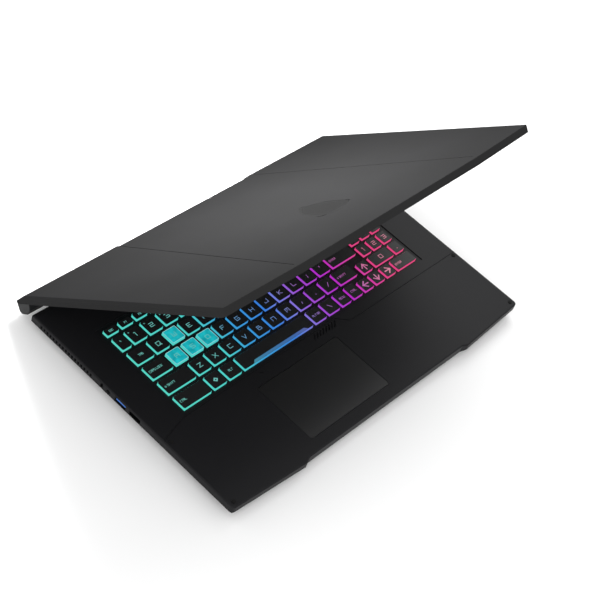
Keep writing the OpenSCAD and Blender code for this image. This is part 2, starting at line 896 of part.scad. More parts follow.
module lid_solid() {
    intersection() {
        translate([0, 0, lid_z])
            linear_extrude(lid_t)
                polygon(lid_outline(0, cover_y));
        translate([-half_w - 1, axis_y, axis_z])
            rotate([90, 0, 90])
                linear_extrude(body_w + 2)
                    polygon(concat([[-base_d - 40, lid_ridge[1]]], cover_rear,
                        [[-11.6, bar_split + 0.2], [-11.6, -4], [-base_d - 40, -4]]));
    }
}

module lid_cover() {
    color("#3a3a3b")
    placed()
        opened()
            difference() {
                lid_solid();
                bevel_cut(lid_sides, lid_bevel, lid_bevel, lid_top, 1, 0);
                // Room for the screen and what lies behind it
                translate([0, 0, lid_z - 1])
                    linear_extrude(lid_t - lid_skin + 1)
                        polygon(lid_outline(wall, axis_y - 13.6));
                both_sides()
                    lid_crease();
                hinge_pockets();
                // Shallow rear dip between the creases
                translate([-crease_back, axis_y, axis_z])
                    rotate([90, 0, 90])
                        linear_extrude(2 * crease_back)
                            polygon([lid_ridge + [-3.2, eps], lid_ridge + [-3.2, 2], [8, 8], lid_heel + [2, -1.2]]);
                // Blank shield-shaped inset
                translate([0, emblem_y, lid_top - emblem_deep])
                    linear_extrude(2)
                        polygon(emblem_outline(1));
            }
}

// Blank badge: a rounded shield, narrow end to the back
function emblem_outline(k) = rounded([
    [0, k * emblem_h / 2, 3], [-k * emblem_w * 0.38, k * emblem_h * 0.16, 20],
    [-k * emblem_w / 2, -k * emblem_h * 0.36, 4], [0, -k * emblem_h / 2, 26],
    [k * emblem_w / 2, -k * emblem_h * 0.36, 4], [k * emblem_w * 0.38, k * emblem_h * 0.16, 20]], 6);

module screen_bezel() {
    color("#1b1c1d")
    placed()
        opened()
            difference() {
                translate([0, 0, lid_z])
                    linear_extrude(bezel_t)
                        difference() {
                            polygon(lid_outline(wall + bezel_fit, axis_y - 13.6 - bezel_fit));
                            translate([-screen_w / 2, screen_y - screen_h / 2])
                                square([screen_w, screen_h]);
                        }
                translate([0, webcam_y, lid_z - 1])
                    cylinder(h = bezel_t + 2, r = 2);
                for (s = [-1, 1])
                    translate([s * 22, webcam_y, lid_z - 1])
                        cylinder(h = bezel_t + 2, r = 0.5);
            }
}

module display_panel() {
    color("#0c0d10")
    placed()
        opened()
            translate([-screen_w / 2 - panel_rim, screen_y - screen_h / 2 - panel_rim, lid_z + bezel_t + 0.1])
                cube([screen_w + 2 * panel_rim, screen_h + 2 * panel_rim, panel_t]);
}

webcam_y = screen_y - screen_h / 2 - 5.4;
module webcam() {
    color("#0a0a0a")
    placed()
        opened() {
            translate([-34, webcam_y - 2, lid_z + bezel_t + 0.1])
                cube([68, 4, 1.6]);
            translate([0, webcam_y, lid_z + 0.3])
                cylinder(h = bezel_t, r = 1.8);
        }
}

module antennas() {
    color("#c0a060")
    placed()
        opened()
            for (s = [-1, 1])
                translate([s * 90 - 20, webcam_y - 2, lid_z + bezel_t + 0.2])
                    cube([40, 4, 0.8]);
}

module display_cable() {
    color("#303030")
    placed()
        opened()
            translate([-90, screen_y + screen_h / 2 + panel_rim + 0.5, lid_z + bezel_t + 0.6])
                cube([180, 5, 0.8]);
}

top_case();
bottom_cover();
rubber_feet();
bottom_screws();
keyboard_plate();
backlight_sheet();
mainboard();
heat_pipes();
fin_stacks();
fan_housing(-1);  // fan_housing_left
fan_housing(1);  // fan_housing_right
fan_rotor(-1);  // fan_rotor_left
fan_rotor(1);  // fan_rotor_right
battery_pack();
memory_modules();
storage_drive();
wireless_card();
speakers();
dc_inlet();
usb_sockets();
usb_c_socket();
video_socket();
audio_jack();
hinge_bracket_left();
hinge_bracket_right();
hinge_covers();
deck_bumpers();
status_lights();
touchpad_plate();
power_button();
keys("key_w");  // key_w
keys("key_a");  // key_a
keys("key_s");  // key_s
keys("key_d");  // key_d
keys("key_space");  // key_space
keys("key_enter");  // key_enter
keys("key_backspace");  // key_backspace
keys("key_up");  // key_up
keys("key_left");  // key_left
keys("key_down");  // key_down
keys("key_right");  // key_right
keys("function_keys");  // function_keys
keys("number_keys");  // number_keys
keys("upper_letter_keys");  // upper_letter_keys
keys("home_letter_keys");  // home_letter_keys
keys("lower_letter_keys");  // lower_letter_keys
keys("modifier_keys");  // modifier_keys
keys("numpad_keys");  // numpad_keys
lid_cover();
screen_bezel();
display_panel();
webcam();
hinge_bar();
hinge_pin_left();
hinge_pin_right();
antennas();
display_cable();
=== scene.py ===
import json
import math

import bmesh
import bpy
from mathutils import Matrix, Vector


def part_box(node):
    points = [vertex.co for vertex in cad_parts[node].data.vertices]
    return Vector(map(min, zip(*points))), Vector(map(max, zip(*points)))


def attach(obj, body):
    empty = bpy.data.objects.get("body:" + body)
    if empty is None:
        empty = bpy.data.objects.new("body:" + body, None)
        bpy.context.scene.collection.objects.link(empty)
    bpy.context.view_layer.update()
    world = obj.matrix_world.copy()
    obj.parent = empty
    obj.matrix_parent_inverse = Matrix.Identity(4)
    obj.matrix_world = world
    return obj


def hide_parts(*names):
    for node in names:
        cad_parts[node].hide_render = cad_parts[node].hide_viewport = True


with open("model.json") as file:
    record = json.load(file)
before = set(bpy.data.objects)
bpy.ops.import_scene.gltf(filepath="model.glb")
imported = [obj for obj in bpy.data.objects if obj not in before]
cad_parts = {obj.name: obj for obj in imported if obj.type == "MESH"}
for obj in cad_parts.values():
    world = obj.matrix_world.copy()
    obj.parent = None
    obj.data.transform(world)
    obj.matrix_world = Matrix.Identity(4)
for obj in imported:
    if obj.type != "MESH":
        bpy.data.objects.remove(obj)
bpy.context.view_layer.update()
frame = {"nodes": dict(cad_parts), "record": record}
MM = 0.001
NODES = frame["nodes"]

DECK_REAR, DECK_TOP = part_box("top_case")[1][1:]


def at_deck(x, y, z):
    """A point in millimetres, from the middle of the deck's rear edge, in metres in the row frame."""
    return Vector((x * MM, DECK_REAR + y * MM, DECK_TOP + z * MM))


# Camera and stage ------------------------------------------------------------------------

# Focal length in millimetres, the lens's place from the deck's rear edge, and its right, up and back
LENS = 92.69
CAMERA_AT = (-868.51, -604.73, 1006.65)
CAMERA_AXES = ((0.66313, -0.70706, 0.24562),
               (0.41671, 0.62132, 0.66356),
               (-0.62178, -0.33767, 0.70666))


def place_camera():
    cam_data = bpy.data.cameras.new("camera")
    cam = bpy.data.objects.new("camera", cam_data)
    bpy.context.collection.objects.link(cam)
    cam_data.sensor_width = 36
    cam_data.lens = LENS
    cam_data.clip_start, cam_data.clip_end = 0.05, 20
    right, up, back = (Vector(v) for v in CAMERA_AXES)
    turn = Matrix((right, up, back)).transposed().to_4x4()
    cam.matrix_world = Matrix.Translation(at_deck(*CAMERA_AT)) @ turn
    bpy.context.scene.camera = cam


place_camera()


def linear(hex_colour, alpha=1.0):
    """An sRGB hex colour as linear numbers."""
    out = []
    for i in (0, 2, 4):
        c = int(hex_colour[i:i + 2], 16) / 255
        out.append(c / 12.92 if c <= 0.04045 else ((c + 0.055) / 1.055) ** 2.4)
    return (*out, alpha)


def socket(sockets, key):
    """A socket by its number, its own name or the name that it shows."""
    if isinstance(key, int):
        return sockets[key]
    return next(s for s in sockets if key in (s.identifier, s.name))


def add(mat, kind, settings=None, links=None):
    """One more node in a material: settings by socket name, links as socket name to an output."""
    node = mat.node_tree.nodes.new(kind)
    for key, value in (settings or {}).items():
        if str(key).startswith("."):
            setattr(node, key[1:], value)
        else:
            socket(node.inputs, key).default_value = value
    for key, source in (links or {}).items():
        mat.node_tree.links.new(source, socket(node.inputs, key))
    return node


def new_material(name):
    mat = bpy.data.materials.new(name)
    mat.use_nodes = True
    mat.node_tree.nodes.clear()
    return mat


def finish_material(mat, shader):
    out = add(mat, "ShaderNodeOutputMaterial")
    mat.node_tree.links.new(shader.outputs[0], out.inputs["Surface"])
    return mat


def light(name, at, aim, size, power, colour="ffffff"):
    data = bpy.data.lights.new(name, "AREA")
    data.shape, data.size, data.energy = "RECTANGLE", size[0], power
    data.size_y = size[1]
    data.color = linear(colour)[:3]
    lamp = bpy.data.objects.new(name, data)
    bpy.context.collection.objects.link(lamp)
    lamp.location = at
    lamp.visible_camera = False
    lamp.rotation_mode = "QUATERNION"
    lamp.rotation_quaternion = (Vector(aim) - Vector(at)).to_track_quat("-Z", "Y")
    return lamp


LID_ANGLE = math.radians(40.8)
# Half the floor's side, in metres
FLOOR_HALF = 6


def make_stage():
    bm = bmesh.new()
    bmesh.ops.create_grid(bm, x_segments=1, y_segments=1, size=FLOOR_HALF)
    mesh = bpy.data.meshes.new("floor")
    bm.to_mesh(mesh)
    bm.free()
    floor = bpy.data.objects.new("floor", mesh)
    bpy.context.collection.objects.link(floor)
    # Matt white paper sweep: a plain pale surface that takes soft shadows
    mat = new_material("white_paper")
    shader = add(mat, "ShaderNodeBsdfPrincipled", {"Base Color": linear("f4f4f4"), "Roughness": 0.9,
                                                    "Specular IOR Level": 0.1})
    finish_material(mat, shader)
    mesh.materials.append(mat)
    world = bpy.data.worlds.new("studio")
    world.use_nodes = True
    world.node_tree.nodes["Background"].inputs["Color"].default_value = linear("ffffff")
    world.node_tree.nodes["Background"].inputs["Strength"].default_value = 1.0
    bpy.context.scene.world = world
    # A small softbox close over the lid brightens its middle and lets its ends fall off
    lid_lo, lid_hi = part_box("lid_cover")
    middle = (lid_lo + lid_hi) / 2
    facing = Vector((0.16, math.sin(LID_ANGLE), math.cos(LID_ANGLE)))
    light("lid_softbox", middle + facing * 0.22, middle, (0.16, 0.12), 1.9)
    light("key_softbox", (0.9, 0.5, 1.2), (0.15, 0, 0), (0.8, 0.6), 8)
    light("fill_softbox", (-1.4, -0.6, 1.3), (0, 0, 0.05), (1.2, 1.2), 8)
    bpy.context.scene.view_settings.view_transform = "Standard"
    bpy.context.scene.view_settings.look = "None"


make_stage()


# Materials -------------------------------------------------------------------------------

def moulded(name, base, grain_mm, rough=0.5, bump=0.15, vary="000000", amount=0.06, spec=0.5):
    """Moulded plastic: fine spark-eroded grain with slight patches of tone and gloss."""
    mat = new_material(name)
    where = add(mat, "ShaderNodeTexCoord")
    grain = add(mat, "ShaderNodeTexNoise", {"Scale": 1 / (grain_mm * MM), "Detail": 3.0, "Roughness": 0.6},
                {"Vector": where.outputs["Object"]})
    patch = add(mat, "ShaderNodeTexNoise", {"Scale": 1 / (60 * MM), "Detail": 2.0},
                {"Vector": where.outputs["Object"]})
    tone = add(mat, "ShaderNodeMix", {".data_type": "RGBA", "A_Color": linear(base),
                                             "B_Color": linear(vary)})
    fade = add(mat, "ShaderNodeMath", {".operation": "MULTIPLY", 1: amount}, {0: patch.outputs["Fac"]})
    mat.node_tree.links.new(fade.outputs[0], tone.inputs[0])
    gloss = add(mat, "ShaderNodeMapRange", {"To Min": rough - 0.06, "To Max": rough + 0.08},
                {"Value": grain.outputs["Fac"]})
    relief = add(mat, "ShaderNodeBump", {"Strength": bump, "Distance": 0.02 * MM},
                 {"Height": grain.outputs["Fac"]})
    shader = add(mat, "ShaderNodeBsdfPrincipled", {"Specular IOR Level": spec, "IOR": 1.5},
                 {"Base Color": socket(tone.outputs, "Result_Color"), "Roughness": gloss.outputs["Result"],
                  "Normal": relief.outputs["Normal"]})
    return finish_material(mat, shader)


def brushed(name, base, rough=0.35, metal=1.0, along=(1, 12, 1)):
    """Rolled or ground metal: fine streaks one way."""
    mat = new_material(name)
    where = add(mat, "ShaderNodeTexCoord")
    stretch = add(mat, "ShaderNodeMapping", {"Scale": along}, {"Vector": where.outputs["Object"]})
    streak = add(mat, "ShaderNodeTexNoise", {"Scale": 1 / (1.5 * MM), "Detail": 2.0},
                 {"Vector": stretch.outputs["Vector"]})
    gloss = add(mat, "ShaderNodeMapRange", {"To Min": rough - 0.1, "To Max": rough + 0.1},
                {"Value": streak.outputs["Fac"]})
    tone = add(mat, "ShaderNodeMix", {".data_type": "RGBA", "A_Color": linear(base),
                                             "B_Color": linear("202020")})
    fade = add(mat, "ShaderNodeMath", {".operation": "MULTIPLY", 1: 0.12}, {0: streak.outputs["Fac"]})
    mat.node_tree.links.new(fade.outputs[0], tone.inputs[0])
    shader = add(mat, "ShaderNodeBsdfPrincipled", {"Metallic": metal},
                 {"Base Color": socket(tone.outputs, "Result_Color"), "Roughness": gloss.outputs["Result"]})
    return finish_material(mat, shader)


# Colours of the key lighting from the left end to the right end, x in millimetres
GLOW = [(-170, "5ce6d2"), (-88, "50dcd6"), (-62, "3aa8e6"), (-20, "3a86ea"), (2, "7f83ea"),
        (24, "a850e0"), (60, "c02cd4"), (92, "e040b0"), (112, "f0468c"), (170, "f04a80")]


def glow_ramp(mat, boost):
    """Colour of the light under the keys, which changes along the keyboard."""
    where = add(mat, "ShaderNodeTexCoord")
    split = add(mat, "ShaderNodeSeparateXYZ", {}, {"Vector": where.outputs["Object"]})
    left, right = GLOW[0][0] * MM, GLOW[-1][0] * MM
    place = add(mat, "ShaderNodeMapRange", {"From Min": left, "From Max": right},
                {"Value": split.outputs["X"]})
    ramp = add(mat, "ShaderNodeValToRGB", {}, {"Fac": place.outputs["Result"]})
    steps = ramp.color_ramp.elements
    for i, (x, colour) in enumerate(GLOW):
        pos = (x - GLOW[0][0]) / (GLOW[-1][0] - GLOW[0][0])
        step = steps[0] if i == 0 else steps[1] if i == 1 else steps.new(pos)
        step.position = pos
        step.color = linear(colour)
    tint = add(mat, "ShaderNodeMix", {".data_type": "RGBA", "Factor": boost,
                                             "B_Color": linear("ffffff")}, {"A_Color": ramp.outputs["Color"]})
    return socket(tint.outputs, "Result_Color")


def lit(name, strength, pale=0.0, body="202224", rough=0.35):
    """Clear ABS that carries the key lighting to the eye: it shines with the colour of its place."""
    mat = new_material(name)
    colour = glow_ramp(mat, pale)
    shader = add(mat, "ShaderNodeBsdfPrincipled", {"Base Color": linear(body), "Roughness": rough,
                                                    "Emission Strength": strength},
                 {"Emission Color": colour})
    return finish_material(mat, shader)


def teal_cap():
    """Clear teal ABS over a lamp, with soft clouds of brighter and deeper teal."""
    mat = new_material("clear_teal_abs")
    where = add(mat, "ShaderNodeTexCoord")
    cloud = add(mat, "ShaderNodeTexNoise", {"Scale": 1 / (6 * MM), "Detail": 2.0},
                {"Vector": where.outputs["Object"]})
    ramp = add(mat, "ShaderNodeValToRGB", {}, {"Fac": cloud.outputs["Fac"]})
    ramp.color_ramp.elements[0].position, ramp.color_ramp.elements[0].color = 0.3, linear("0e8f98")
    ramp.color_ramp.elements[1].position, ramp.color_ramp.elements[1].color = 0.7, linear("22c4cc")
    shader = add(mat, "ShaderNodeBsdfPrincipled", {"Base Color": linear("0e8088"), "Roughness": 0.3,
                                                    "Emission Strength": 0.75},
                 {"Emission Color": ramp.outputs["Color"]})
    return finish_material(mat, shader)


# Casing: black ABS, spark-eroded in the mould, so it looks even and slightly silky
casing = moulded("black_abs_casing", "141416", 0.35, rough=0.5, bump=0.2, vary="1b1b1d", amount=0.5,
                 spec=0.15)
# Underside: the same ABS with a coarser grain that hides scratches
underside = moulded("black_abs_underside", "161617", 0.8, rough=0.62, bump=0.35, vary="202021", amount=0.5)
# Lid: aluminium painted dark grey with a satin metallic paint
lid_paint = moulded("satin_grey_paint", "292929", 0.3, rough=0.46, bump=0.08, vary="2f2f30", amount=0.6,
                    spec=0.0)
# Hinge bar: plain matt black ABS
bar_abs = moulded("black_abs_bar", "141415", 0.5, rough=0.55, bump=0.2, spec=0.25)
# Screen frame: black ABS with a fine grain
bezel_abs = moulded("black_abs_bezel", "121213", 0.4, rough=0.6, bump=0.2)
# Touchpad: etched glass painted black behind, smooth to the finger
pad_glass = moulded("etched_glass_pad", "141415", 0.2, rough=0.4, bump=0.04, spec=0.35)
# Rubber: dull, grey-black, with a soft grain
rubber = moulded("nitrile_rubber", "101010", 0.6, rough=0.85, bump=0.3, spec=0.2)
# Caps: satin black ABS, slightly polished by use
cap_abs = moulded("satin_black_abs_cap", "1a1b1c", 0.25, rough=0.5, bump=0.12, spec=0.3)
plain_black = moulded("moulded_black_nylon", "17181a", 0.5, rough=0.6, bump=0.2)
solder_mask = moulded("green_solder_mask", "0f3a22", 2.0, rough=0.4, bump=0.1, vary="2a6a40", amount=0.5)
wrap_film = moulded("black_polyester_film", "18191c", 1.2, rough=0.3, bump=0.1)
diffuser = moulded("white_diffuser_film", "e4e8ea", 0.5, rough=0.5, bump=0.05)
blue_nylon = moulded("blue_moulded_nylon", "1f5fb4", 0.3, rough=0.4, bump=0.08)
steel = brushed("zinc_plated_steel", "a8acb0", 0.4)
black_steel = brushed("blackened_steel", "2c2c2e", 0.45)
copper = brushed("bright_copper", "c27a4a", 0.3)
aluminium = brushed("plain_aluminium_fins", "b8bbbe", 0.35)
tin_plate = brushed("tin_plated_shell", "8c9094", 0.3)
brass_foil = brushed("thin_brass_foil", "b49658", 0.35)


def screen_material():
    """Dark liquid-crystal panel with a matt film: nearly black, with a soft broad sheen."""
    mat = new_material("matt_filmed_lcd")
    where = add(mat, "ShaderNodeTexCoord")
    sparkle = add(mat, "ShaderNodeTexNoise", {"Scale": 1 / (0.4 * MM), "Detail": 1.0},
                  {"Vector": where.outputs["Object"]})
    gloss = add(mat, "ShaderNodeMapRange", {"To Min": 0.2, "To Max": 0.3}, {"Value": sparkle.outputs["Fac"]})
    shader = add(mat, "ShaderNodeBsdfPrincipled", {"Base Color": linear("08080a"), "IOR": 1.5},
                 {"Roughness": gloss.outputs["Result"]})
    return finish_material(mat, shader)


lcd = screen_material()
FINISH = {
    "top_case": casing, "hinge_covers": casing, "bottom_cover": underside, "rubber_feet": rubber,
    "deck_bumpers": rubber, "bottom_screws": black_steel, "keyboard_plate": steel,
    "backlight_sheet": diffuser, "mainboard": solder_mask, "memory_modules": solder_mask,
    "storage_drive": solder_mask, "wireless_card": tin_plate, "heat_pipes": copper,
    "fin_stacks": aluminium, "fan_housing_left": plain_black, "fan_housing_right": plain_black,
    "fan_rotor_left": plain_black, "fan_rotor_right": plain_black, "battery_pack": wrap_film,
    "speakers": plain_black, "dc_inlet": plain_black, "audio_jack": plain_black,
    "usb_sockets": black_steel, "usb_c_socket": tin_plate, "video_socket": tin_plate,
    "hinge_bracket_left": steel, "hinge_bracket_right": steel, "hinge_pin_left": steel,
    "hinge_pin_right": steel, "status_lights": diffuser, "touchpad_plate": pad_glass,
    "power_button": cap_abs, "lid_cover": lid_paint, "screen_bezel": bezel_abs, "display_panel": lcd,
    "webcam": pad_glass, "hinge_bar": bar_abs, "antennas": brass_foil, "display_cable": wrap_film,
}
for name, mat in FINISH.items():
    mesh = NODES[name].data
    mesh.materials.clear()
    mesh.materials.append(mat)


# Keys ------------------------------------------------------------------------------------

skirt_lit = lit("clear_abs_skirt", 0.85)
legend_lit = lit("clear_abs_legend", 0.62, pale=0.15)
strip_lit = lit("clear_abs_strip", 0.42, pale=0.05)
teal_abs = teal_cap()
rim_lit = lit("clear_teal_rim", 0.9, pale=0.45)

# Layout in millimetres on the deck, the same as the CAD keys: node, legend, left, front, width, depth
KEYS_LEFT, KEYS_FRONT = 163.0, 153.2
U, V = 18.9, 19.45
CAP_GAP, CAP_D, FN_D = 3.5, 15.3, 7.3
MAIN_W, NUM_U, NUM_V, NUM_D, SMALL_U = 273.0, 15.5, 16.2, 12.8, 16.5
CAP_RISE = 1.6


def row(y, depth, x, items):
    out = []
    for node, legend, w in items:
        out.append((node, legend, x, y, w, depth))
        x += w
    return out


def row_y(k):
    return -KEYS_FRONT + k * V


def num_x(k):
    return -KEYS_LEFT + MAIN_W + 1 + k * NUM_U


def num_y(k):
    return -KEYS_FRONT + k * NUM_V


def letters(node, text):
    return [(node, c, U) for c in text]


SHIFT_W, CAPS_W, TAB_W, TICK_W = 1.95 * U, 1.465 * U, 1.23 * U, 0.757 * U
M, LO, HO, UP, NU, FN, NP = ("modifier_keys", "lower_letter_keys", "home_letter_keys", "upper_letter_keys",
                             "number_keys", "function_keys", "numpad_keys")
KEYS = (
    row(row_y(0), CAP_D, -KEYS_LEFT, [(M, "Ctrl", SHIFT_W), (M, "#diamond", U), (M, "Alt", U),
                                      ("key_space", "", 5 * U), (M, "Alt Gr", U), (M, "\\", U),
                                      (M, "Menu", SMALL_U), (M, "Ctrl", SMALL_U)])
    + row(row_y(1), CAP_D, -KEYS_LEFT, [(LO, "^ Shift", SHIFT_W)] + letters(LO, "ZXCVBNM,./")
          + [(LO, "^ Shift", CAPS_W)])
    + row(row_y(2), CAP_D, -KEYS_LEFT, [(HO, "Caps Lock", CAPS_W), ("key_a", "A", U), ("key_s", "S", U),
                                        ("key_d", "D", U)] + letters(HO, "FGHJKL;'")
          + [("key_enter", "Enter", MAIN_W - CAPS_W - 11 * U)])
    + row(row_y(3), CAP_D, -KEYS_LEFT, [(UP, "Tab", TAB_W), (UP, "Q", U), ("key_w", "W", U)]
          + letters(UP, "ERTYUIOP[]") + [(UP, "\\", MAIN_W - TAB_W - 12 * U)])
    + row(row_y(4), CAP_D, -KEYS_LEFT, [(NU, "`", TICK_W)] + letters(NU, "1234567890-=")
          + [("key_backspace", "Backspace", MAIN_W - TICK_W - 12 * U)])
    + row(row_y(5), FN_D, -KEYS_LEFT, [(FN, t, MAIN_W / 16) for t in
                                       ["Esc"] + ["F%d" % i for i in range(1, 13)] + ["Ins", "Prt", "Del"]])
    + row(row_y(5), FN_D, num_x(0), [(FN, "Home", NUM_U), (FN, "End", NUM_U), (FN, "Pg", NUM_U)])
    + row(num_y(0), NUM_D, num_x(0) - 2 * SMALL_U - 1,
          [("key_left", "#left", SMALL_U), ("key_down", "#down", SMALL_U), ("key_right", "#right", SMALL_U),
           (NP, "Enter", num_x(3) - num_x(0) - SMALL_U + 1)])
    + row(num_y(1), NUM_D, num_x(0) - SMALL_U - 1, [("key_up", "#up", SMALL_U)])
    + row(num_y(1), NUM_D, num_x(0), [(NP, "0", 2 * NUM_U), (NP, ".", NUM_U)])
    + row(num_y(2), NUM_D, num_x(0), [(NP, "1", NUM_U), (NP, "2", NUM_U), (NP, "3", NUM_U)])
    + row(num_y(3), NUM_D, num_x(0), [(NP, "4", NUM_U), (NP, "5", NUM_U), (NP, "6", NUM_U)])
    + row(num_y(4), NUM_D, num_x(0), [(NP, "7", NUM_U), (NP, "8", NUM_U), (NP, "9", NUM_U)])
    + row(num_y(5), NUM_D, num_x(0), [(NP, "Num", NUM_U), (NP, "/", NUM_U), (NP, "*", NUM_U)])
)

# Squared glyphs on a grid 4 wide and 6 high, as strokes
GLYPHS = {
    "A": "0,0 0,6 4,6 4,0|0,3 4,3", "B": "0,0 0,6 3,6 3,3.3 0,3.3|3,3.3 4,3 4,0 0,0",
    "C": "4,6 0,6 0,0 4,0", "D": "0,0 0,6 3,6 4,5 4,0 0,0", "E": "4,6 0,6 0,0 4,0|0,3 3,3",
    "F": "4,6 0,6 0,0|0,3 3,3", "G": "4,6 0,6 0,0 4,0 4,3 2,3", "H": "0,0 0,6|4,0 4,6|0,3 4,3",
    "I": "2,0 2,6", "J": "4,6 4,0 0,0 0,1.6", "K": "0,0 0,6|4,6 0,3 4,0", "L": "0,6 0,0 4,0",
    "M": "0,0 0,6 4,6 4,0|2,6 2,2", "N": "0,0 0,6 4,6 4,0", "O": "0,0 0,6 4,6 4,0 0,0",
    "P": "0,0 0,6 4,6 4,3 0,3", "Q": "0,0 0,6 4,6 4,0 0,0|2.6,1.6 4.6,-0.6",
    "R": "0,0 0,6 4,6 4,3 0,3|2,3 4,0",
    "S": "4,6 0,6 0,3 4,3 4,0 0,0", "T": "0,6 4,6|2,6 2,0", "U": "0,6 0,0 4,0 4,6",
    "V": "0,6 2,0 4,6", "W": "0,6 0,0 4,0 4,6|2,0 2,4", "X": "0,0 4,6|0,6 4,0",
    "Y": "0,6 0,3 4,3|4,6 4,0 0,0",
    "Z": "0,6 4,6 0,0 4,0", "0": "0,0 0,6 4,6 4,0 0,0", "1": "1,6 2,6 2,0", "2": "0,6 4,6 4,3 0,3 0,0 4,0",
    "3": "0,6 4,6 4,0 0,0|1,3 4,3", "4": "0,6 0,3 4,3|4,6 4,0", "5": "4,6 0,6 0,3 4,3 4,0 0,0",
    "6": "4,6 0,6 0,0 4,0 4,3 0,3", "7": "0,6 4,6 4,0", "8": "0,0 0,6 4,6 4,0 0,0|0,3 4,3",
    "9": "4,3 0,3 0,6 4,6 4,0 0,0", ",": "2,1.5 1,-1", ".": "1.6,0 2.4,0", "/": "0,0 4,6", "\\": "0,6 4,0",
    ";": "2,4 2,3.4|2,1.4 1.2,-0.6", "'": "2,6 2,4", "[": "3,6 1,6 1,0 3,0", "]": "1,6 3,6 3,0 1,0",
    "`": "1,6 2,4.6", "-": "0.5,3 3.5,3", "=": "0.5,4 3.5,4|0.5,2 3.5,2",
    "*": "0.5,1.5 3.5,4.5|0.5,4.5 3.5,1.5",
    "^": "0,2.6 2.4,5.4 4.8,2.6 3.6,2.6 3.6,0.4 1.2,0.4 1.2,2.6 0,2.6",
    "#up": "0,2.6 3,6 6,2.6|3,5.4 3,0", "#down": "0,3.4 3,0 6,3.4|3,0.6 3,6",
    "#left": "3.4,0 0,3 3.4,6|0.6,3 6,3", "#right": "2.6,0 6,3 2.6,6|5.4,3 0,3",
    "#diamond": "2.5,0 0,2.5 2.5,5 5,2.5 2.5,0",
}


def stroke(bm, a, b, width, z, slot_index):
    """One flat bar from a to b, as wide as the pen, with square ends."""
    a, b = Vector(a), Vector(b)
    run = b - a
    length = run.length + width
    made = bmesh.ops.create_grid(bm, x_segments=1, y_segments=1, size=0.5)
    move = (Matrix.Translation(((a.x + b.x) / 2, (a.y + b.y) / 2, z))
            @ Matrix.Rotation(math.atan2(run.y, run.x), 4, "Z") @ Matrix.Diagonal((length, width, 1, 1)))
    bmesh.ops.transform(bm, matrix=move, verts=made["verts"])
    for face in {f for v in made["verts"] for f in v.link_faces}:
        face.material_index = slot_index


def glyph(bm, name, x, y, size, pen, z, slot_index, widen=1.0):
    """One sign with its lower left corner at x, y, drawn size high."""
    k = size / 6
    kx = k * widen
    for line in GLYPHS[name].split("|"):
        pts = [tuple(float(c) for c in p.split(",")) for p in line.split()]
        for p, q in zip(pts, pts[1:]):
            stroke(bm, (x + p[0] * kx, y + p[1] * k), (x + q[0] * kx, y + q[1] * k), pen, z, slot_index)
            z += 0.002 * MM


def word(bm, text, x, y, size, pen, z, slot_index):
    """A small word from x rightwards."""
    k = size / 6
    for c in text:
        if c == " ":
            x += 2.5 * k
            continue
        glyph(bm, c.upper(), x, y, size, pen, z, slot_index)
        x += (5.4 if c not in "^" else 7.2) * k


def word_length(text, size):
    return sum(2.5 if c == " " else 7.2 if c == "^" else 5.4 for c in text) * size / 6 - 1.4 * size / 6


def rounded_slab(bm, cx, cy, w, d, z0, z1, radius, slot_index):
    """Upright slab with rounded corners; returns its faces."""
    made = bmesh.ops.create_cube(bm, size=1)
    move = Matrix.Translation((cx, cy, (z0 + z1) / 2)) @ Matrix.Diagonal((w, d, z1 - z0, 1))
    bmesh.ops.transform(bm, matrix=move, verts=made["verts"])
    verts = made["verts"]
    upright = [e for e in {e for v in verts for e in v.link_edges}
               if abs(e.verts[0].co.z - e.verts[1].co.z) > 1e-6]
    out = bmesh.ops.bevel(bm, geom=upright, offset=radius, segments=3, profile=0.5, affect="EDGES",
                          material=-1)
    faces = {f for v in verts if v.is_valid for f in v.link_faces} | {f for f in out["faces"]}
    grown = set(faces)
    for f in faces:
        for e in f.edges:
            grown.update(e.link_faces)
    for f in grown:
        f.material_index = slot_index
    return grown


def dish(bm, faces, inset, drop, rim_index, top_index):
    """Insets a slab's top face twice and sinks its middle a little, as a finger cap has."""
    top = max(faces, key=lambda f: f.calc_center_median().z)
    ring = bmesh.ops.inset_region(bm, faces=[top], thickness=inset, depth=0)["faces"]
    slope = bmesh.ops.inset_region(bm, faces=[top], thickness=inset * 2, depth=0)["faces"]
    bmesh.ops.translate(bm, vec=(0, 0, -drop), verts=top.verts[:])
    for f in ring:
        f.material_index = rim_index
    for f in [*slope, top]:
        f.material_index = top_index


BODY_OF = {n: b for b, names in frame["record"]["behaviour"]["bodies"].items() for n in names}
LEGEND_H, PEN = 4.0 * MM, 0.6 * MM
ARROWS = ("#up", "#down", "#left", "#right")
ARROW_H = 7.0 * MM
WORD_H, FN_WORD_H, SIGN_H, WORD_PEN = 2.0 * MM, 1.8 * MM, 1.9 * MM, 0.34 * MM
# Caps wider than this have their word at the left, and a word keeps this margin there, in millimetres
WIDE_CAP, WORD_MARGIN = 24, 2.2
# Clear skirt: how far it reaches below the deck, how far its top stays below the cap's, its corners
SKIRT_DEEP, SKIRT_DROP, SKIRT_CORNER = 2.9 * MM, 0.55 * MM, 1.3 * MM
# Opaque shell: how much narrower than the skirt, its height, how far below the cap's top, its corners
SHELL_IN, SHELL_H, SHELL_DROP, SHELL_CORNER = 0.5 * MM, 1.45 * MM, 0.06 * MM, 1.2 * MM
RIM_W, DISH_DEEP = 0.35 * MM, 0.06 * MM
LEGEND_DROP = 0.05 * MM
# Material slots of the caps' mesh, in the order in which make_keys adds them
BLACK, SKIRT, TEAL, RIM, LEGEND, STRIP = range(6)


